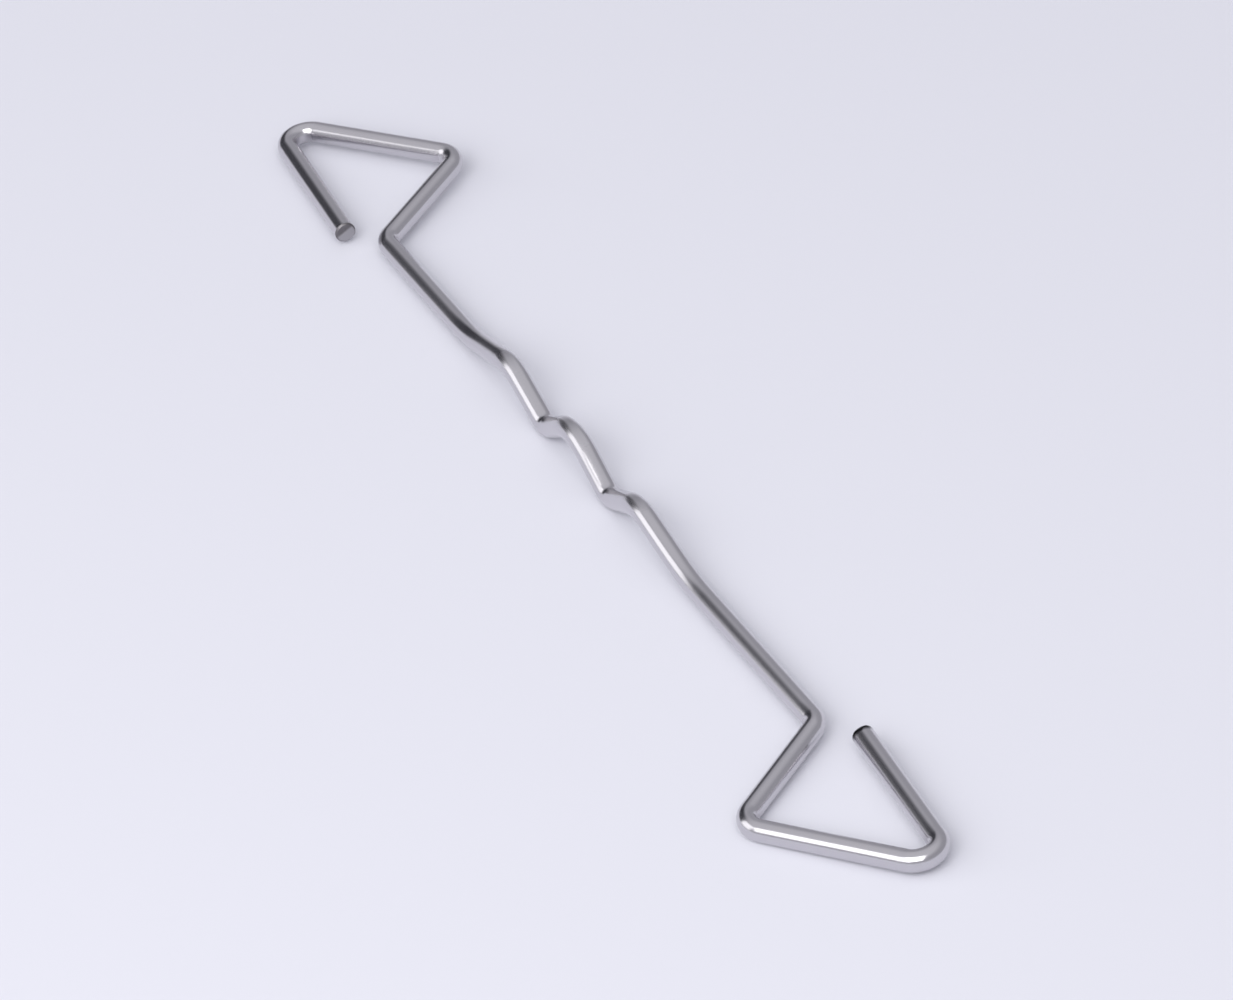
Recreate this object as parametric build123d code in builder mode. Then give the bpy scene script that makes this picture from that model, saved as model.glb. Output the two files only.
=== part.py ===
from build123d import *
from math import atan2, cos, degrees, sin
import os

# A wall tie bent from one length of round wire. It joins the two leaves of a cavity wall:
# each triangular end is bedded in a mortar joint, and the drips between them shed water
# inside the cavity. It lies loose, as it comes to rest on a flat surface: on its two drip
# valleys and the square corner of one end. +X runs along the shank, +Z is up, and the
# origin is on that surface, below the middle of the tie.

# Wire
wire_diameter = 3.3
cut_bevel = 0.25  # at the rim of each sheared end

# Triangular ends, measured between the corners of the wire's centre line
shank_length = 149.2
flank_length = 24.6  # from the shank out to the square corner
flank_angle = 53.6  # degrees, off the line of the shank
base_length = 34.3  # from the square corner to the tip
base_angle = 37.7  # degrees, back towards the line of the shank
return_length = 35.8  # free leg, from the tip back beside the end of the shank
return_angle = 4.7  # degrees, away from the line of the shank
end_bend_radius = 3.3

# Drips, pressed up and down out of the line of the shank
drip_offset = 4.9  # of the middle drip, towards the -X end
drip_spacing = 22.0  # from one drip to the next
middle_drip_height = 5.5
outer_drip_height = 4.0
valley_depth = 1.25
lead_in = 15.7  # from an outer drip to the straight shank
drip_bend_radius = 8.5  # over the top of a drip
valley_bend_radius = 3.5
lead_in_bend_radius = 35.0  # where the wire rises gently out of the shank


def end_corners():
    """Corners of the +X end in the plane of the tie, from the cut end to the shank."""
    shank_end = Vector(shank_length / 2, 0)
    square_corner = shank_end + Vector(flank_length, 0).rotate(Axis.Z, -flank_angle)
    tip = square_corner + Vector(base_length, 0).rotate(Axis.Z, base_angle)
    cut_end = tip + Vector(-return_length, 0).rotate(Axis.Z, -return_angle)
    return [cut_end, tip, square_corner, shank_end]


def drip_corners():
    """Corners of the drips in the upright plane of the shank, in the -X to +X direction."""
    first_valley = (drip_spacing / 2, -valley_depth)
    outer_drip = (drip_spacing, outer_drip_height)
    shank_start = (drip_spacing + lead_in, 0)
    right_half = [first_valley, outer_drip, shank_start]
    left_half = [(-along, height) for along, height in reversed(right_half)]
    profile = left_half + [(0, middle_drip_height)] + right_half
    return [Vector(along - drip_offset, 0, height) for along, height in profile]


# Route of the centre line. The -X end is the +X end turned half a turn about Z.
plus_end = end_corners()
minus_end = [corner.rotate(Axis.Z, 180) for corner in plus_end]
drips = drip_corners()
corners = minus_end + drips + list(reversed(plus_end))

end_radii = [end_bend_radius] * (len(plus_end) - 1)
drip_and_valley = [drip_bend_radius, valley_bend_radius]
drip_radii = drip_and_valley * 2 + [drip_bend_radius]
lead_in_radii = [lead_in_bend_radius]
bend_radii = end_radii + lead_in_radii + drip_radii + lead_in_radii + end_radii

# Rest on a flat surface. The valleys dip below the plane of the two ends, so the tie leans
# about its shank until the square corner of the +X end touches down as well.
with BuildLine() as level_route:
    FilletPolyline(*corners, radius=bend_radii)

level_box = level_route.line.bounding_box()
dip = -level_box.min.Z
reach = -level_box.min.Y
lean = atan2(dip, reach)
shank_height = wire_diameter / 2 + dip * cos(lean)
lying = Plane(
    origin=(0, 0, shank_height),
    x_dir=(1, 0, 0),
    z_dir=(0, -sin(lean), cos(lean)),
)

with BuildPart() as tie_wire:
    with BuildLine() as route:
        FilletPolyline(*[lying.from_local_coords(corner) for corner in corners], radius=bend_radii)
    with BuildSketch(Plane(origin=route.line @ 0, z_dir=route.line % 0)):
        Circle(wire_diameter / 2)
    sweep(path=route.line)
    # Sheared ends
    cut_faces = tie_wire.faces().filter_by(GeomType.PLANE)
    chamfer(cut_faces.edges(), length=cut_bevel)

tie_wire.part.label = "tie_wire"

# The wire's cut length and how far the tie leans
print("cut length", round(route.wire().length, 2), "mm")
print("lean", round(degrees(lean), 3), "degrees")
print("volume", round(tie_wire.part.volume, 2), "mm3")

os.makedirs("parts", exist_ok=True)
export_step(tie_wire.part, "parts/tie_wire.step")
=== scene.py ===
"""Studio scene of a cavity wall tie: one bent wire that lies loose on a pale floor.

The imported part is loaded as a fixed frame. The tie's wire is then drawn again as a finer
mesh in the same place, with the marks that drawing, bending and shearing leave on it.
"""

import bmesh
import bpy
import logging
import math
from dataclasses import dataclass, field
from enum import Enum
from mathutils import Matrix, Vector, noise

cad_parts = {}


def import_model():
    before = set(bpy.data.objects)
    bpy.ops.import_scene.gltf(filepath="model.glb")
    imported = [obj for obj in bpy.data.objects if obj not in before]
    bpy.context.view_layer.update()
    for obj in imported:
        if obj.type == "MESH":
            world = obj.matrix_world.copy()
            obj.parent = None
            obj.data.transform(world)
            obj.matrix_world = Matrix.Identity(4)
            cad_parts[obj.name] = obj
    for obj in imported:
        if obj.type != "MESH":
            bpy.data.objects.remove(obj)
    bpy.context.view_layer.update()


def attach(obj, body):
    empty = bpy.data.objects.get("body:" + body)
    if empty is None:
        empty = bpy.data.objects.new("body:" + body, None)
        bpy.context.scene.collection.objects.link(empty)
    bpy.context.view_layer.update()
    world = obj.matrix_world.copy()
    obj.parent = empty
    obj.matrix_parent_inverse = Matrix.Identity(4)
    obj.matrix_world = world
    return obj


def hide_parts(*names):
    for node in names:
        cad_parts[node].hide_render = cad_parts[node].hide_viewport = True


LOG = logging.getLogger("wall_tie")
MM = 0.001

# What an input of a node can be given: a socket to link, a number or several numbers
NodeValue = bpy.types.NodeSocket | float | tuple[float, ...] | Vector


class Forming(Enum):
    """How a bend of the wire is made."""

    ROUND_A_PIN = "round a pin"
    PRESSED = "pressed in a die"
    LEAD_IN = "drawn in beside the die"


@dataclass(frozen=True)
class Corner:
    """One corner of the wire's centre line, before it is rounded.

    Args:
        place: Where the two straight runs would meet, in metres.
        radius: Radius of the bend's centre line, in metres.
        forming: How the bend is made.
    """

    place: Vector
    radius: float
    forming: Forming


@dataclass(frozen=True)
class Bend:
    """A rounded corner of the centre line.

    Args:
        start: Where the bend begins.
        centre: Centre of its arc.
        axis: Axis that it turns about.
        angle: How far it turns, in radians.
        forming: How the bend is made.
    """

    start: Vector
    centre: Vector
    axis: Vector
    angle: float
    forming: Forming

    @property
    def radius(self) -> float:
        """Radius of the arc, in metres."""
        return (self.start - self.centre).length

    @property
    def end(self) -> Vector:
        """Where the bend ends."""
        return self.centre + Matrix.Rotation(self.angle, 3, self.axis) @ (self.start - self.centre)


@dataclass(frozen=True)
class TieSizes:
    """Sizes of the tie, in metres and degrees, as the part has them."""

    wire_diameter: float = 3.3 * MM
    cut_bevel: float = 0.25 * MM
    shank_length: float = 149.2 * MM
    flank_length: float = 24.6 * MM
    flank_angle: float = 53.6
    base_length: float = 34.3 * MM
    base_angle: float = 37.7
    return_length: float = 35.8 * MM
    return_angle: float = 4.7
    end_bend_radius: float = 3.3 * MM
    drip_offset: float = 4.9 * MM
    drip_spacing: float = 22.0 * MM
    middle_drip_height: float = 5.5 * MM
    outer_drip_height: float = 4.0 * MM
    valley_depth: float = 1.25 * MM
    lead_in: float = 15.7 * MM
    drip_bend_radius: float = 8.5 * MM
    valley_bend_radius: float = 3.5 * MM
    lead_in_bend_radius: float = 35.0 * MM


def along(angle: float) -> Vector:
    """Unit vector in the plane of the tie, at an angle in degrees from +X."""
    return Vector((math.cos(math.radians(angle)), math.sin(math.radians(angle)), 0.0))


def direction(azimuth: float, elevation: float) -> Vector:
    """Unit vector at an azimuth from +X towards +Y and an elevation, in degrees."""
    level = along(azimuth) * math.cos(math.radians(elevation))
    return level + Vector((0.0, 0.0, math.sin(math.radians(elevation))))


def rise(value: float, start: float, full: float) -> float:
    """How far a value is on its way from start to full, from 0 to 1."""
    return min(1.0, max(0.0, (value - start) / (full - start)))


@dataclass
class TieRoute:
    """Centre line of the tie, as straight runs and bends, where it lies at rest.

    Args:
        sizes: The tie's sizes.
    """

    sizes: TieSizes = field(default_factory=TieSizes)

    def end_corners(self) -> list[Corner]:
        """Places the corners of the +X end.

        Returns:
            The corners, from the cut end to the shank.
        """
        s = self.sizes
        shank_end = Vector((s.shank_length / 2, 0.0, 0.0))
        square_corner = shank_end + along(-s.flank_angle) * s.flank_length
        tip = square_corner + along(s.base_angle) * s.base_length
        cut_end = tip - along(-s.return_angle) * s.return_length
        places = [cut_end, tip, square_corner, shank_end]
        return [Corner(place, s.end_bend_radius, Forming.ROUND_A_PIN) for place in places]

    def drip_corners(self) -> list[Corner]:
        """Places the corners of the drips and of the bends beside them.

        Returns:
            The corners, in the -X to +X direction.
        """
        s = self.sizes
        right_half = [
            (s.drip_spacing / 2, -s.valley_depth),
            (s.drip_spacing, s.outer_drip_height),
            (s.drip_spacing + s.lead_in, 0.0),
        ]
        left_half = [(-x, height) for x, height in reversed(right_half)]
        profile = left_half + [(0.0, s.middle_drip_height)] + right_half
        places = [Vector((x - s.drip_offset, 0.0, height)) for x, height in profile]
        first, *pressed, last = places
        radii = [s.drip_bend_radius, s.valley_bend_radius] * 2 + [s.drip_bend_radius]
        return [
            Corner(first, s.lead_in_bend_radius, Forming.LEAD_IN),
            *[Corner(place, radius, Forming.PRESSED) for place, radius in zip(pressed, radii)],
            Corner(last, s.lead_in_bend_radius, Forming.LEAD_IN),
        ]

    def level_corners(self) -> list[Corner]:
        """Places all corners with the two ends level.

        Returns:
            The corners. The -X end is the +X end turned by half a turn.
        """
        half_turn = Matrix.Rotation(math.pi, 3, "Z")
        plus_end = self.end_corners()
        minus_end = [Corner(half_turn @ c.place, c.radius, c.forming) for c in plus_end]
        return minus_end + self.drip_corners() + list(reversed(plus_end))

    def resting(self) -> Matrix:
        """Lays the level tie down on its drip valleys and one square corner.

        Returns:
            The turn and lift from level to rest.
        """
        bends = rounded(self.level_corners())
        upright = [bend for bend in bends if abs(bend.axis.y) > abs(bend.axis.z)]
        flat = [bend for bend in bends if abs(bend.axis.z) > abs(bend.axis.y)]
        dip = max(bend.radius - bend.centre.z for bend in upright if bend.centre.z > 0.0)
        reach = max(bend.radius - bend.centre.y for bend in flat if bend.centre.x > 0.0)
        lean = math.atan2(dip, reach)
        height = self.sizes.wire_diameter / 2 + dip * math.cos(lean)
        return Matrix.Translation((0.0, 0.0, height)) @ Matrix.Rotation(lean, 4, "X")

    def corners(self) -> list[Corner]:
        """All corners where the tie lies at rest."""
        rest = self.resting()
        return [Corner(rest @ c.place, c.radius, c.forming) for c in self.level_corners()]


def rounded(corners: list[Corner]) -> list[Bend]:
    """Bends that round off the corners of a centre line.

    Args:
        corners: The line's ends and its corners, in order.

    Returns:
        One bend for each corner between the two ends.
    """
    bends = []
    for before, corner, after in zip(corners, corners[1:], corners[2:]):
        back = (before.place - corner.place).normalized()
        ahead = (after.place - corner.place).normalized()
        half_open = back.angle(ahead) / 2
        start = corner.place + back * (corner.radius / math.tan(half_open))
        inward = (back + ahead).normalized()
        centre = corner.place + inward * (corner.radius / math.sin(half_open))
        axis = ahead.cross(back).normalized()
        bends.append(Bend(start, centre, axis, math.pi - 2 * half_open, corner.forming))
    return bends


@dataclass(frozen=True)
class Grain:
    """Noise whose spots have a size of their own along each axis.

    Args:
        size: Size of a spot along each axis, in metres.
        detail: How much finer noise is added.
        distortion: How much the noise is warped.
        roughness: How strong the finer noise is.
    """

    size: tuple[float, float, float]
    detail: float
    distortion: float = 0.0
    roughness: float = 0.55


class NodeSheet:
    """A node tree that nodes are added to and linked in, from left to right.

    Args:
        tree: The tree.
    """

    # Distance from one node to the next
    SPACING = 190
    # Colour sockets of the Mix node, by number because it has others of the same names
    MIX_INPUTS = (0, 6, 7)
    MIX_OUTPUT = 2

    def __init__(self, tree: bpy.types.NodeTree) -> None:
        """Starts at the tree's left."""
        self.tree = tree
        self.column = 0

    def add(
        self, kind: str, inputs: dict[str | int, NodeValue] | None = None, **settings: object
    ) -> bpy.types.Node:
        """Adds a node.

        Args:
            kind: Its type, without the word ShaderNode that each type starts with.
            inputs: Values of its sockets, by name or number. An output socket is linked.
            settings: Its other settings.

        Returns:
            The node.
        """
        node = self.tree.nodes.new(f"ShaderNode{kind}")
        node.location = (self.column * self.SPACING, 0)
        self.column += 1
        for name, value in settings.items():
            setattr(node, name, value)
        for name, value in (inputs or {}).items():
            if isinstance(value, bpy.types.NodeSocket):
                self.tree.links.new(value, node.inputs[name])
            else:
                node.inputs[name].default_value = value
        return node

    def math(self, operation: str, *values: NodeValue) -> bpy.types.NodeSocket:
        """Adds a sum of two or three values and gives its result."""
        return self.add("Math", dict(enumerate(values)), operation=operation).outputs[0]

    def stretched_noise(self, place: bpy.types.NodeSocket, grain: Grain) -> bpy.types.NodeSocket:
        """Adds noise that is coarser one way than the other.

        Args:
            place: Coordinates, in metres.
            grain: What the noise is like.

        Returns:
            The noise, about 0.5.
        """
        scale = tuple(1.0 / edge for edge in grain.size)
        mapped = self.add("Mapping", {"Vector": place, "Scale": scale})
        spots = self.add(
            "TexNoise",
            {
                "Vector": mapped.outputs[0],
                "Scale": 1.0,
                "Detail": grain.detail,
                "Roughness": grain.roughness,
                "Distortion": grain.distortion,
            },
        )
        return spots.outputs[0]

    def ramp(self, value: bpy.types.NodeSocket, low: float, high: float) -> bpy.types.NodeSocket:
        """Adds a smooth step that is 0 below low and 1 above high."""
        inputs = {"Value": value, "From Min": low, "From Max": high}
        return self.add("MapRange", inputs, interpolation_type="SMOOTHSTEP").outputs[0]

    def mix_color(
        self, share: bpy.types.NodeSocket, first: NodeValue, second: NodeValue
    ) -> bpy.types.NodeSocket:
        """Adds a mix of two colours and gives its result."""
        inputs = dict(zip(self.MIX_INPUTS, (share, first, second)))
        return self.add("Mix", inputs, data_type="RGBA").outputs[self.MIX_OUTPUT]


def wire_pattern(
    name: str, output: str
) -> tuple[NodeSheet, bpy.types.NodeSocket, bpy.types.NodeSocket]:
    """Starts a node group that gives one value by the place on the wire.

    Args:
        name: The group's name.
        output: The value's name.

    Returns:
        The group's sheet, the socket that gives the place and the one that takes the value.
    """
    tree = bpy.data.node_groups.new(name, "ShaderNodeTree")
    tree.interface.new_socket("Place", in_out="INPUT", socket_type="NodeSocketVector")
    tree.interface.new_socket(output, in_out="OUTPUT", socket_type="NodeSocketFloat")
    entry = tree.nodes.new("NodeGroupInput")
    entry.location = (-NodeSheet.SPACING, 0)
    leave = tree.nodes.new("NodeGroupOutput")
    leave.location = (0, -NodeSheet.SPACING)
    return NodeSheet(tree), entry.outputs["Place"], leave.inputs[output]


@dataclass(frozen=True)
class SteelFinish:
    """Bright drawn stainless wire, as it comes from the die, the bender and the shear.

    Args:
        bright: Colour of clean drawn steel.
        dull: Colour where the surface has clouded.
        torn: Colour of torn metal in a cut.
        end_shade_color: Near-black colour of the painted shade beside a cut, where the wire's end
            looks dark.
        roughness: Roughness of clean drawn steel.
        cloud_roughness: Roughness that clouding adds.
        tool_roughness: Roughness that a bending tool adds.
        torn_roughness: Roughness that tearing adds.
        scuff_roughness: Roughness that scuffs add.
        line_depth: Depth of the lines that the die draws, in metres.
        scuff_depth: Depth of handling scuffs, in metres.
    """

    bright: tuple[float, float, float] = (0.62, 0.605, 0.63)
    dull: tuple[float, float, float] = (0.47, 0.455, 0.48)
    torn: tuple[float, float, float] = (0.2, 0.19, 0.2)
    end_shade_color: tuple[float, float, float] = (0.02, 0.02, 0.024)
    roughness: float = 0.2
    cloud_roughness: float = 0.12
    tool_roughness: float = 0.14
    torn_roughness: float = 0.3
    scuff_roughness: float = 0.1
    line_depth: float = 0.0035 * MM
    scuff_depth: float = 0.005 * MM

    def material(self) -> bpy.types.Material:
        """Makes the steel's material.

        Returns:
            The material.
        """
        material = bpy.data.materials.new("drawn_stainless_steel")
        material.use_nodes = True
        tree = material.node_tree
        tree.nodes.clear()
        sheet = NodeSheet(tree)
        place = sheet.add("Attribute", attribute_name="wire_place").outputs["Vector"]
        mark = sheet.add("Attribute", attribute_name="tool_mark").outputs["Fac"]
        torn = sheet.add("Attribute", attribute_name="torn").outputs["Fac"]
        end_shade = sheet.add("Attribute", attribute_name="end_shade").outputs["Fac"]
        lines = sheet.add("Group", node_tree=drawn_lines())
        clouds = sheet.add("Group", node_tree=clouding())
        scuffs = sheet.add("Group", node_tree=handling_scuffs())
        for node in (lines, clouds, scuffs):
            tree.links.new(place, node.inputs["Place"])
        cloud = clouds.outputs["Cloud"]
        clean = sheet.mix_color(cloud, (*self.bright, 1.0), (*self.dull, 1.0))
        cut = sheet.mix_color(torn, clean, (*self.torn, 1.0))
        # Painted shade: a near-black colour on the blade side just behind each cut, where the
        # wire's end looks dark
        color = sheet.mix_color(end_shade, cut, (*self.end_shade_color, 1.0))
        rough = sheet.math("MULTIPLY_ADD", cloud, self.cloud_roughness, self.roughness)
        for mask, added in (
            (mark, self.tool_roughness),
            (torn, self.torn_roughness),
            (scuffs.outputs["Scuff"], self.scuff_roughness),
        ):
            rough = sheet.math("MULTIPLY_ADD", mask, added, rough)
        line_height = sheet.math("MULTIPLY", lines.outputs["Line"], self.line_depth)
        scuff_height = sheet.math("MULTIPLY", scuffs.outputs["Scuff"], -self.scuff_depth)
        height = sheet.math("ADD", line_height, scuff_height)
        bump = sheet.add("Bump", {"Strength": 1.0, "Distance": 1.0, "Height": height})
        surface = sheet.add(
            "BsdfPrincipled",
            {
                "Base Color": color,
                "Metallic": 1.0,
                "Roughness": rough,
                "Normal": bump.outputs["Normal"],
            },
        )
        sheet.add("OutputMaterial", {"Surface": surface.outputs[0]})
        return material


def drawn_lines() -> bpy.types.NodeTree:
    """Fine lines along the wire, which the drawing die leaves.

    Returns:
        The node group: the height of the lines, from 0 to 1, by place on the wire.
    """
    coarse_line = Grain((60 * MM, 0.32 * MM, 0.32 * MM), detail=3.0)
    fine_line = Grain((25 * MM, 0.09 * MM, 0.09 * MM), detail=2.0)
    coarse_share, fine_share = 0.65, 0.35
    sheet, place, line = wire_pattern("drawn_lines", "Line")
    coarse = sheet.math("MULTIPLY", sheet.stretched_noise(place, coarse_line), coarse_share)
    fine = sheet.math("MULTIPLY", sheet.stretched_noise(place, fine_line), fine_share)
    sheet.tree.links.new(sheet.math("ADD", coarse, fine), line)
    return sheet.tree


def clouding() -> bpy.types.NodeTree:
    """Soft cloudy patches, where soap and scale from the drawing are left.

    Returns:
        The node group: how clouded the steel is, from 0 to 1, by place on the wire.
    """
    patch = Grain((9 * MM, 2.2 * MM, 2.2 * MM), detail=4.0, distortion=0.6)
    patch_edge = (0.42, 0.72)
    sheet, place, cloud = wire_pattern("clouding", "Cloud")
    patches = sheet.ramp(sheet.stretched_noise(place, patch), *patch_edge)
    sheet.tree.links.new(patches, cloud)
    return sheet.tree


def handling_scuffs() -> bpy.types.NodeTree:
    """Short thin scuffs across the drawn lines, in the places that were handled.

    Returns:
        The node group: how scuffed the steel is, from 0 to 1, by place on the wire.
    """
    streak = Grain((3.0 * MM, 0.12 * MM, 0.4 * MM), detail=1.0)
    streak_turn = (0.4, 0.5, 0.9)
    streak_edge = (0.66, 0.74)
    handled = Grain((7 * MM, 1.5 * MM, 1.5 * MM), detail=1.0)
    handled_edge = (0.5, 0.62)
    sheet, place, scuff = wire_pattern("handling_scuffs", "Scuff")
    turned = sheet.add("Mapping", {"Vector": place, "Rotation": streak_turn}).outputs[0]
    streaks = sheet.ramp(sheet.stretched_noise(turned, streak), *streak_edge)
    places = sheet.ramp(sheet.stretched_noise(place, handled), *handled_edge)
    sheet.tree.links.new(sheet.math("MULTIPLY", streaks, places), scuff)
    return sheet.tree


@dataclass(frozen=True)
class Ring:
    """One ring of the drawn wire's mesh.

    Args:
        centre: Middle of the ring.
        distance: How far along the wire it lies, in metres.
        outward: Away from the centre of the bend it lies in, or none on a straight run.
        forming: How that bend is made, or none on a straight run.
        worked: How hard the wire is formed there, from 0 to 1 in the middle of a bend.
    """

    centre: Vector
    distance: float
    outward: Vector | None = None
    forming: Forming | None = None
    worked: float = 0.0


@dataclass(frozen=True)
class Cut:
    """A sheared end of the wire.

    Args:
        centre: Middle of the cut face, in metres.
        outward: Out of the wire.
        blade: The side that the blade came from.
        end_shade: How strong the painted shade beside this cut is, from 0 to 1.
    """

    centre: Vector
    outward: Vector
    blade: Vector
    end_shade: float


@dataclass
class DrawnWire:
    """The tie's wire as a fine mesh, with the marks of drawing, bending and shearing.

    Args:
        route: Centre line of the tie.
        finish: Finish of the steel.
        sides: Corners of each ring.
        run_spacing: Most that two rings of a straight run lie apart, in metres.
        bend_spacing: Most that two rings of a bend turn apart, in degrees.
        thinning: Share by which a bend round a pin thins the wire, towards its centre.
        bulging: Share by which such a bend widens the wire, sideways.
        die_flat: Depth of the flat that the die presses on a drip, in metres.
        pin_flat: Depth of the flat that the pin leaves inside a bend, in metres.
        ripple: Unevenness of the drawn surface, in metres.
        ripple_length: Length of that unevenness along the wire, in metres.
        shear_step: Drop from the smooth to the torn half of a cut face, in metres.
        torn_relief: Roughness of the torn half, in metres.
        burr: Height of the lip that the shear leaves, in metres.
        nip_length: Length of the nip that the blade leaves beside the cut, in metres.
        nip_depth: Depth of that nip, in metres.
        nip_rings: Rings along that nip.
        face_dullness: How dull the smooth part of a cut face is, where 1 is torn metal.
        face_rings: Rings inside a cut face, as shares of the wire's radius.
        first_blade: Azimuth and elevation that the blade of the first cut came from.
        last_blade: The same for the last cut.
        first_end_shade: How strong the painted shade beside the first cut is, from 0 to 1.
        last_end_shade: The same beside the last cut.
        touching: Shares of a flat's height where a tool's mark begins and where it is full.
        tearing: Shares of the radius, past the middle of a cut face, where it begins to be
            torn and where it is all torn.
        torn_grain: Size of the spots in the torn half, in metres.
        lipping: Shares of the radius, past the middle, where the lip begins and is full.
        end_shade_reach: Shares of the radius, towards the blade, where the painted shade begins
            and is full.
        end_shade_fade: Share of the nip's length over which the painted shade fades out.
        merge_distance: Corners that lie nearer than this are merged, in metres.
        crease: Least angle between two faces at a sharp edge, in degrees.
    """

    route: TieRoute
    finish: SteelFinish
    sides: int = 48
    run_spacing: float = 2.5 * MM
    bend_spacing: float = 6.0
    thinning: float = 0.05
    bulging: float = 0.025
    die_flat: float = 0.10 * MM
    pin_flat: float = 0.06 * MM
    ripple: float = 0.006 * MM
    ripple_length: float = 6.0 * MM
    shear_step: float = 0.12 * MM
    torn_relief: float = 0.05 * MM
    burr: float = 0.14 * MM
    nip_length: float = 1.3 * MM
    nip_depth: float = 0.3 * MM
    nip_rings: int = 6
    face_dullness: float = 0.5
    face_rings: tuple[float, ...] = (0.72, 0.58, 0.44, 0.3, 0.16, 0.06)
    first_blade: tuple[float, float] = (110.0, -60.0)
    last_blade: tuple[float, float] = (300.0, 68.0)
    # Strength of the painted shade behind each cut, full at the last cut
    first_end_shade: float = 0.15
    last_end_shade: float = 1.0
    touching: tuple[float, float] = (0.75, 1.0)
    tearing: tuple[float, float] = (0.05, 0.23)
    torn_grain: float = 0.35 * MM
    lipping: tuple[float, float] = (0.72, 1.0)
    end_shade_reach: tuple[float, float] = (0.2, 0.6)
    end_shade_fade: float = 0.5
    merge_distance: float = 0.001 * MM
    crease: float = 35.0

    @property
    def radius(self) -> float:
        """Radius of the wire, in metres."""
        return self.route.sizes.wire_diameter / 2

    def build(self) -> bpy.types.Object:
        """Draws the wire along its route, marks it and dresses it.

        Returns:
            The finished piece.
        """
        corners = self.route.corners()
        bends = rounded(corners)
        first_cut, last_cut = corners[0].place, corners[-1].place
        bevel = self.route.sizes.cut_bevel
        first_heading = (bends[0].start - first_cut).normalized()
        last_heading = (last_cut - bends[-1].end).normalized()
        nip_spacing = self.nip_length / self.nip_rings
        rings = [Ring(first_cut + first_heading * bevel, bevel)]
        tie = self._start(rings[0].centre, first_heading)
        self._draw_run(rings, first_cut + first_heading * self.nip_length, nip_spacing)
        for bend in bends:
            self._draw_run(rings, bend.start, self.run_spacing)
            self._draw_bend(rings, bend)
        self._draw_run(rings, last_cut - last_heading * self.nip_length, self.run_spacing)
        self._draw_run(rings, last_cut - last_heading * bevel, nip_spacing)
        self._close_end(rings, len(rings) - 1, last_heading)
        self._select_ring(0)
        self._close_end(rings, 0, -first_heading)
        bpy.ops.object.mode_set(mode="OBJECT")
        cuts = [
            Cut(first_cut, -first_heading, direction(*self.first_blade), self.first_end_shade),
            Cut(last_cut, last_heading, direction(*self.last_blade), self.last_end_shade),
        ]
        self._form(tie, rings, cuts)
        bpy.ops.object.mode_set(mode="EDIT")
        bpy.ops.mesh.select_all(action="SELECT")
        bpy.ops.mesh.remove_doubles(threshold=self.merge_distance)
        bpy.ops.mesh.normals_make_consistent(inside=False)
        bpy.ops.object.mode_set(mode="OBJECT")
        bpy.ops.object.shade_smooth_by_angle(angle=math.radians(self.crease))
        tie.data.materials.append(self.finish.material())
        return tie

    def _start(self, place: Vector, heading: Vector) -> bpy.types.Object:
        """Adds the first ring and leaves it selected in edit mode.

        Args:
            place: Middle of the ring.
            heading: The way that the wire goes on from it.

        Returns:
            The tie, which has that one ring so far.
        """
        bpy.ops.object.select_all(action="DESELECT")
        turn = heading.to_track_quat("Z", "Y").to_euler()
        bpy.ops.mesh.primitive_circle_add(
            vertices=self.sides, radius=self.radius, location=place, rotation=turn
        )
        tie = bpy.context.object
        tie.name = "drawn_wire"
        tie.data.name = "drawn_wire"
        bpy.ops.object.transform_apply(location=True, rotation=True, scale=True)
        bpy.ops.object.mode_set(mode="EDIT")
        bpy.ops.mesh.select_mode(type="VERT")
        bpy.ops.mesh.select_all(action="SELECT")
        mesh = bmesh.from_edit_mesh(tie.data)
        ring = mesh.verts.layers.int.new("ring")
        around = mesh.verts.layers.float.new("around")
        face_depth = mesh.verts.layers.float.new("face_depth")
        for number, vert in enumerate(mesh.verts):
            vert[ring] = 0
            vert[around] = number / self.sides * math.tau
            vert[face_depth] = 0.0
        bmesh.update_edit_mesh(tie.data)
        return tie

    def _tag_selected(self, ring_number: int, face_depth: float = 0.0) -> None:
        """Notes where the selected corners are.

        Args:
            ring_number: Number of the ring that they belong to.
            face_depth: How far inside a cut face they are, from 0 at its edge to 1.
        """
        data = bpy.context.object.data
        mesh = bmesh.from_edit_mesh(data)
        ring = mesh.verts.layers.int["ring"]
        depth = mesh.verts.layers.float["face_depth"]
        for vert in mesh.verts:
            if vert.select:
                vert[ring] = ring_number
                vert[depth] = face_depth
        bmesh.update_edit_mesh(data)

    def _select_ring(self, ring_number: int) -> None:
        """Selects one ring of the wire's side, and nothing else.

        Args:
            ring_number: Number of the ring.
        """
        bpy.ops.mesh.select_all(action="DESELECT")
        data = bpy.context.object.data
        mesh = bmesh.from_edit_mesh(data)
        ring = mesh.verts.layers.int["ring"]
        depth = mesh.verts.layers.float["face_depth"]
        for vert in mesh.verts:
            if vert[ring] == ring_number and vert[depth] == 0.0:
                vert.select = True
        mesh.select_flush_mode()
        bmesh.update_edit_mesh(data)

    def _draw_run(self, rings: list[Ring], end: Vector, spacing: float) -> None:
        """Extrudes the last ring straight to a point.

        Args:
            rings: Rings so far, which this adds to.
            end: Where the run ends.
            spacing: Most that two rings lie apart, in metres.
        """
        whole = end - rings[-1].centre
        steps = max(1, math.ceil(whole.length / spacing))
        step = whole / steps
        for _ in range(steps):
            bpy.ops.mesh.extrude_region_move(TRANSFORM_OT_translate={"value": step})
            last = rings[-1]
            rings.append(Ring(last.centre + step, last.distance + step.length))
            self._tag_selected(len(rings) - 1)

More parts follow.
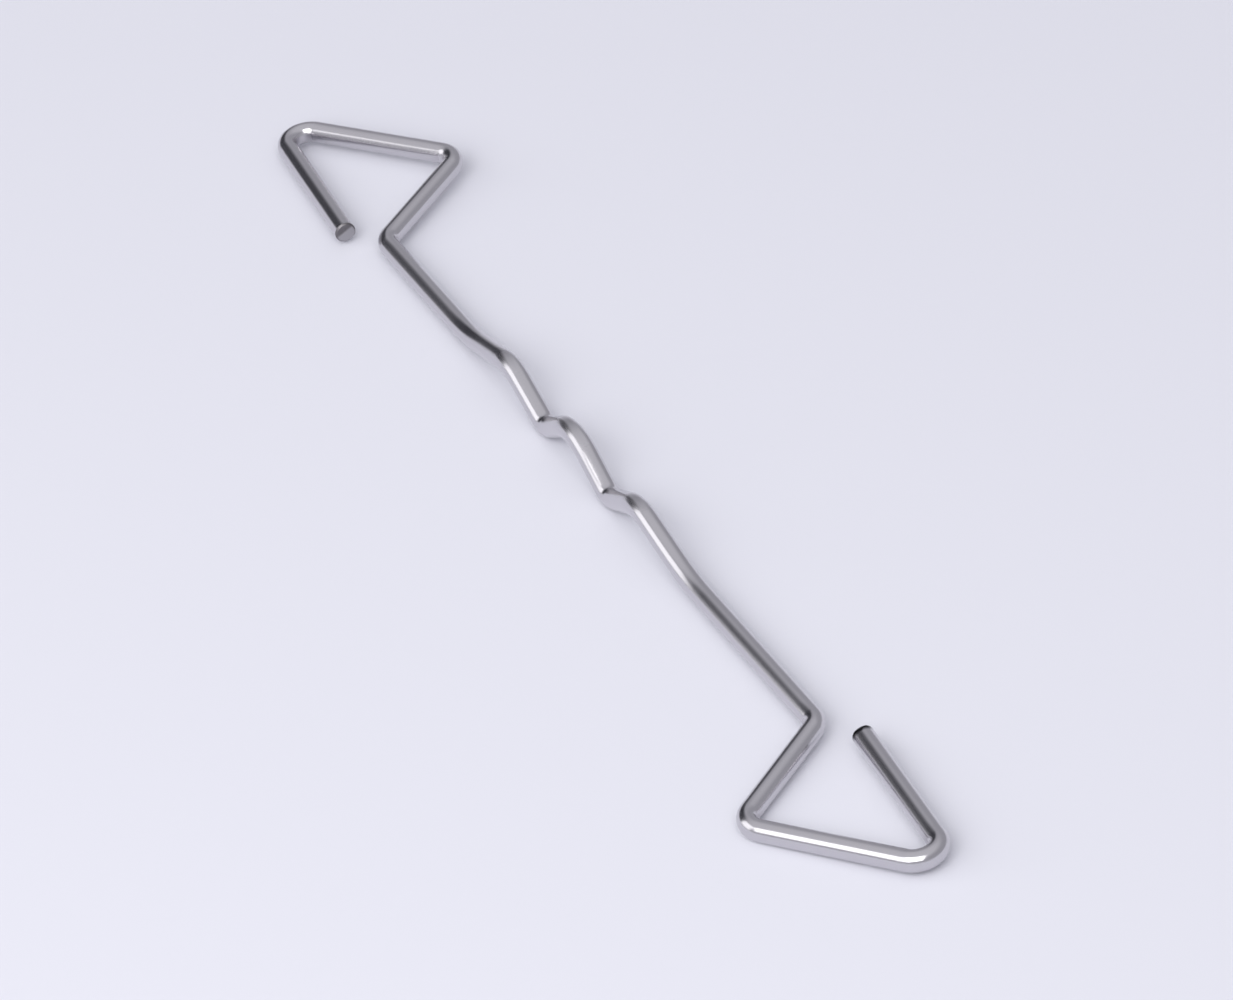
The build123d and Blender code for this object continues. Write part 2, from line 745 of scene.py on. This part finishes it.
    def _draw_bend(self, rings: list[Ring], bend: Bend) -> None:
        """Spins the last ring round a bend.

        Args:
            rings: Rings so far, which this adds to.
            bend: The bend to draw.
        """
        steps = max(2, math.ceil(math.degrees(bend.angle) / self.bend_spacing))
        step = bend.angle / steps
        for number in range(1, steps + 1):
            # The operator turns clockwise about its axis
            bpy.ops.mesh.spin(
                steps=1, angle=-step, center=bend.centre, axis=bend.axis, use_auto_merge=False
            )
            arm = Matrix.Rotation(step * number, 3, bend.axis) @ (bend.start - bend.centre)
            worked = math.sin(math.pi * number / steps) ** 0.5 if number < steps else 0.0
            distance = rings[-1].distance + step * bend.radius
            centre = bend.centre + arm
            rings.append(Ring(centre, distance, arm.normalized(), bend.forming, worked))
            self._tag_selected(len(rings) - 1)

    def _close_end(self, rings: list[Ring], ring_number: int, outward: Vector) -> None:
        """Bevels the rim of the selected end ring and fills its face, ring inside ring.

        Args:
            rings: Rings of the wire.
            ring_number: The end's own ring.
            outward: Out of the wire.
        """
        bevel = self.route.sizes.cut_bevel
        face_centre = rings[ring_number].centre + outward * bevel
        radius = self.radius
        bpy.ops.mesh.extrude_region_move(TRANSFORM_OT_translate={"value": outward * bevel})
        for number, share in enumerate((1.0 - bevel / self.radius, *self.face_rings)):
            if number > 0:
                bpy.ops.mesh.extrude_region_move(TRANSFORM_OT_translate={"value": (0, 0, 0)})
            scale = share * self.radius / radius
            bpy.ops.transform.resize(value=(scale,) * 3, center_override=face_centre)
            radius = share * self.radius
            self._tag_selected(ring_number, face_depth=1.0 - share)
        bpy.ops.mesh.edge_face_add()

    def _form(self, tie: bpy.types.Object, rings: list[Ring], cuts: list[Cut]) -> None:
        """Gives the round wire its flats, its ripple, its nips and its sheared faces.

        Args:
            tie: The drawn wire, in object mode.
            rings: Its rings.
            cuts: Its first and its last cut.
        """
        data = tie.data
        length = rings[-1].distance + self.route.sizes.cut_bevel
        end_rings = (0, len(rings) - 1)
        ring_of = [item.value for item in data.attributes["ring"].data]
        around = [item.value for item in data.attributes["around"].data]
        depth = [item.value for item in data.attributes["face_depth"].data]
        place = data.attributes.new("wire_place", "FLOAT_VECTOR", "POINT")
        mark = data.attributes.new("tool_mark", "FLOAT", "POINT")
        torn = data.attributes.new("torn", "FLOAT", "POINT")
        # Painted shade near the cuts, which the material mixes in as a near-black colour
        end_shade = data.attributes.new("end_shade", "FLOAT", "POINT")
        for vert in data.vertices:
            index = vert.index
            ring = rings[ring_of[index]]
            cut = cuts[int(ring.distance > length / 2)]
            to_cut = min(ring.distance, length - ring.distance)
            share = 1.0 - depth[index]
            angle = around[index]
            across = Vector((math.cos(angle), math.sin(angle))) * self.radius * share
            spot = Vector((ring.distance, across.x, across.y))
            place.data[index].vector = spot
            if share < 1.0:
                offset = vert.co - cut.centre
                offset -= cut.outward * offset.dot(cut.outward)
                nipped, _ = self._nipped(offset, cut, 0.0)
                lift, tear = self._sheared(offset, cut)
                vert.co = cut.centre + nipped + cut.outward * lift
                torn.data[index].value = self.face_dullness + (1.0 - self.face_dullness) * tear
                continue
            offset = vert.co - ring.centre
            formed, mark.data[index].value = self._bent(offset, ring)
            nipped, end_shade.data[index].value = self._nipped(formed, cut, to_cut)
            # The rim of a cut is dragged and dull, and its darker colour is also painted shade
            # that damps the glint the bevel would show
            torn.data[index].value = float(ring_of[index] in end_rings)
            ripple = noise.noise(spot / self.ripple_length) * self.ripple
            vert.co = ring.centre + nipped + offset.normalized() * ripple
            # Rubbed flat where it rests
            vert.co.z = max(vert.co.z, 0.0)

    def _nipped(self, offset: Vector, cut: Cut, to_cut: float) -> tuple[Vector, float]:
        """Presses one corner in where the blade nipped the wire.

        Args:
            offset: From the wire's centre line to the corner.
            cut: The nearer cut.
            to_cut: How far it lies from that cut, in metres.

        Returns:
            The new offset, and how smeared that spot is, from 0 to 1.
        """
        closeness = 1.0 - to_cut / self.nip_length
        if closeness <= 0.0:
            return offset, 0.0
        blade = (cut.blade - cut.outward * cut.blade.dot(cut.outward)).normalized()
        height = offset.dot(blade)
        limit = self.radius - self.nip_depth * closeness**2
        # Painted shade: darkens the blade side just behind the cut, where the end looks dark
        reached = rise(height / self.radius, *self.end_shade_reach)
        end_shade = cut.end_shade * reached * rise(closeness, 0.0, self.end_shade_fade)
        return offset + blade * (min(height, limit) - height), end_shade

    def _bent(self, offset: Vector, ring: Ring) -> tuple[Vector, float]:
        """Shapes one corner of a ring by the tool that bent the wire.

        Args:
            offset: From the ring's centre to the corner.
            ring: The ring.

        Returns:
            The new offset, and how strongly the tool marks that spot, from 0 to 1.
        """
        if ring.outward is None or ring.worked == 0.0:
            return offset, 0.0
        height = offset.dot(ring.outward)
        sideways = offset - ring.outward * height
        if ring.forming is Forming.ROUND_A_PIN:
            height *= 1.0 - self.thinning * ring.worked
            sideways *= 1.0 + self.bulging * ring.worked
            limit = self.radius * (1.0 - self.thinning) - self.pin_flat * ring.worked
            touched = -height / limit
            height = max(height, -limit)
        else:
            limit = self.radius - self.die_flat * ring.worked
            touched = height / limit
            height = min(height, limit)
        mark = ring.worked * rise(touched, *self.touching)
        return sideways + ring.outward * height, mark

    def _sheared(self, offset: Vector, cut: Cut) -> tuple[float, float]:
        """Relief of a sheared face at one spot.

        Args:
            offset: The spot, from the middle of the face.
            cut: The cut.

        Returns:
            How far the spot stands out, in metres, and how torn it is, from 0 to 1.
        """
        travel = -offset.dot(cut.blade) / self.radius
        tear = rise(travel, *self.tearing)
        rough = noise.noise(offset / self.torn_grain) * self.torn_relief
        lip = self.burr * rise(travel, *self.lipping) ** 2
        return tear * (rough - self.shear_step * (1.0 - abs(travel))) + lip, tear


@dataclass(frozen=True)
class Softbox:
    """A soft lamp that looks at the middle of the tie.

    Args:
        name: What it does.
        azimuth: Where it stands, in degrees from +X towards +Y.
        elevation: How high it stands, in degrees.
        distance: How far away it is, in metres.
        width: Its width, in metres.
        height: Its height, in metres.
        brightness: How bright its face looks, where 1 is white.
    """

    name: str
    azimuth: float
    elevation: float
    distance: float
    width: float
    height: float
    brightness: float

    def add(self) -> None:
        """Adds the lamp to the scene."""
        way = direction(self.azimuth, self.elevation)
        lamp = bpy.data.lights.new(self.name, "AREA")
        lamp.shape = "RECTANGLE"
        lamp.size, lamp.size_y = self.width, self.height
        lamp.energy = self.brightness * math.pi * self.width * self.height
        stand = bpy.data.objects.new(self.name, lamp)
        stand.location = way * self.distance
        stand.rotation_euler = way.to_track_quat("Z", "Y").to_euler()
        stand.visible_camera = False
        bpy.context.scene.collection.objects.link(stand)


@dataclass(frozen=True)
class Studio:
    """Pale floor, soft light and the camera.

    Args:
        floor_width: Width of the floor, in metres.
        floor_color: Colour of the floor.
        floor_roughness: Roughness of the floor.
        floor_shine: Specular level of the floor, which has none.
        horizon_color: Colour of the room near the horizon, as pale as the floor.
        room_color: Colour of the room above it.
        ceiling_color: Colour of the room overhead.
        dark_color: Colour of the room's dark side.
        dark_azimuth: Where the dark side is, in degrees from +X towards +Y.
        dark_elevation: How high its middle is, in degrees.
        dark_edge: Cosines of the angles from there where it begins and is full.
        horizon_edge: Sines of the elevations where the pale part ends and the room begins.
        ceiling_edge: Sines of the elevations where the ceiling begins and is full.
        camera_place: Where the camera stands, in metres.
        camera_aim: The point on the floor it looks at, in metres.
        camera_roll: How far it is turned clockwise about its line of sight, in degrees.
        camera_lens: Its focal length, in millimetres.
        camera_sensor: Width of its sensor, in millimetres.
        camera_range: The nearest and the farthest that it sees, in metres.
        softboxes: The main light, a near window beside it and a bright wall on the left.
    """

    floor_width: float = 12.0
    floor_color: tuple[float, float, float] = (0.735, 0.735, 0.795)
    floor_roughness: float = 0.7
    floor_shine: float = 0.0
    horizon_color: tuple[float, float, float] = (0.76, 0.76, 0.83)
    room_color: tuple[float, float, float] = (0.42, 0.42, 0.46)
    ceiling_color: tuple[float, float, float] = (0.68, 0.68, 0.72)
    dark_color: tuple[float, float, float] = (0.05, 0.05, 0.06)
    dark_azimuth: float = 193.0
    dark_elevation: float = 16.0
    dark_edge: tuple[float, float] = (0.85, 0.95)
    horizon_edge: tuple[float, float] = (0.05, 0.12)
    ceiling_edge: tuple[float, float] = (0.5, 0.9)
    camera_place: tuple[float, float, float] = (956.6 * MM, -380.2 * MM, 708.6 * MM)
    camera_aim: tuple[float, float, float] = (5.5 * MM, 1.2 * MM, 0.0)
    camera_roll: float = 6.7
    camera_lens: float = 245.4
    camera_sensor: float = 36.0
    camera_range: tuple[float, float] = (0.05, 50.0)
    softboxes: tuple[Softbox, ...] = (
        Softbox(
            name="main_light",
            azimuth=330.0,
            elevation=44.0,
            distance=3.3,
            width=2.85,
            height=2.25,
            brightness=2.95,
        ),
        Softbox(
            name="left_window",
            azimuth=300.0,
            elevation=36.0,
            distance=0.8,
            width=0.6,
            height=0.5,
            brightness=1.8,
        ),
        Softbox(
            name="left_wall",
            azimuth=244.0,
            elevation=26.0,
            distance=1.5,
            width=1.05,
            height=1.0,
            brightness=1.15,
        ),
    )

    def build(self) -> None:
        """Builds the floor, the room, the lamps and the camera."""
        self._floor()
        self._room()
        for softbox in self.softboxes:
            softbox.add()
        self._camera()

    def _floor(self) -> None:
        """Lays the plain pale floor under the tie."""
        bpy.ops.object.select_all(action="DESELECT")
        bpy.ops.mesh.primitive_plane_add(size=self.floor_width)
        floor = bpy.context.object
        floor.name = "floor"
        material = bpy.data.materials.new("pale_floor")
        material.use_nodes = True
        surface = material.node_tree.nodes["Principled BSDF"]
        surface.inputs["Base Color"].default_value = (*self.floor_color, 1.0)
        surface.inputs["Roughness"].default_value = self.floor_roughness
        surface.inputs["Specular IOR Level"].default_value = self.floor_shine
        floor.data.materials.append(material)

    def _room(self) -> None:
        """Surrounds the scene with a room that is pale low down and darker above."""
        world = bpy.data.worlds.new("room")
        world.use_nodes = True
        bpy.context.scene.world = world
        tree = world.node_tree
        tree.nodes.clear()
        sheet = NodeSheet(tree)
        way = sheet.add("TexCoord").outputs["Generated"]
        height = sheet.add("SeparateXYZ", {0: way}).outputs["Z"]
        dark_way = sheet.add(
            "VectorMath",
            {0: way, 1: direction(self.dark_azimuth, self.dark_elevation)},
            operation="DOT_PRODUCT",
        )
        darkness = sheet.ramp(dark_way.outputs["Value"], *self.dark_edge)
        upward = sheet.ramp(height, *self.ceiling_edge)
        walls = sheet.mix_color(upward, (*self.room_color, 1.0), (*self.ceiling_color, 1.0))
        room = sheet.mix_color(darkness, walls, (*self.dark_color, 1.0))
        above = sheet.ramp(height, *self.horizon_edge)
        color = sheet.mix_color(above, (*self.horizon_color, 1.0), room)
        background = sheet.add("Background", {"Color": color, "Strength": 1.0})
        sheet.add("OutputWorld", {"Surface": background.outputs[0]})

    def _camera(self) -> None:
        """Sets the camera at the photograph's viewing angle, with a longer lens on the tie."""
        camera = bpy.data.objects.new("camera", bpy.data.cameras.new("camera"))
        camera.data.sensor_width = self.camera_sensor
        camera.data.lens = self.camera_lens
        camera.data.clip_start, camera.data.clip_end = self.camera_range
        place, aim = Vector(self.camera_place), Vector(self.camera_aim)
        back = (place - aim).normalized()
        level = back.to_track_quat("Z", "Y").to_matrix()
        roll = Matrix.Rotation(math.radians(-self.camera_roll), 3, "Z")
        camera.matrix_world = Matrix.Translation(place) @ (level @ roll).to_4x4()
        bpy.context.scene.collection.objects.link(camera)
        bpy.context.scene.camera = camera


def main() -> None:
    """Loads the frame, builds the studio and the tie, and logs the tie's corner and face counts.
    """
    logging.basicConfig(level=logging.INFO, format="%(name)s: %(message)s")
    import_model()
    Studio().build()
    tie = DrawnWire(TieRoute(), SteelFinish()).build()
    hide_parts("tie_wire")
    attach(tie, "root")
    LOG.info("%s: %d corners, %d faces", tie.name, len(tie.data.vertices), len(tie.data.polygons))
    bpy.context.scene.view_settings.view_transform = "Standard"


if __name__ == "__main__":
    main()
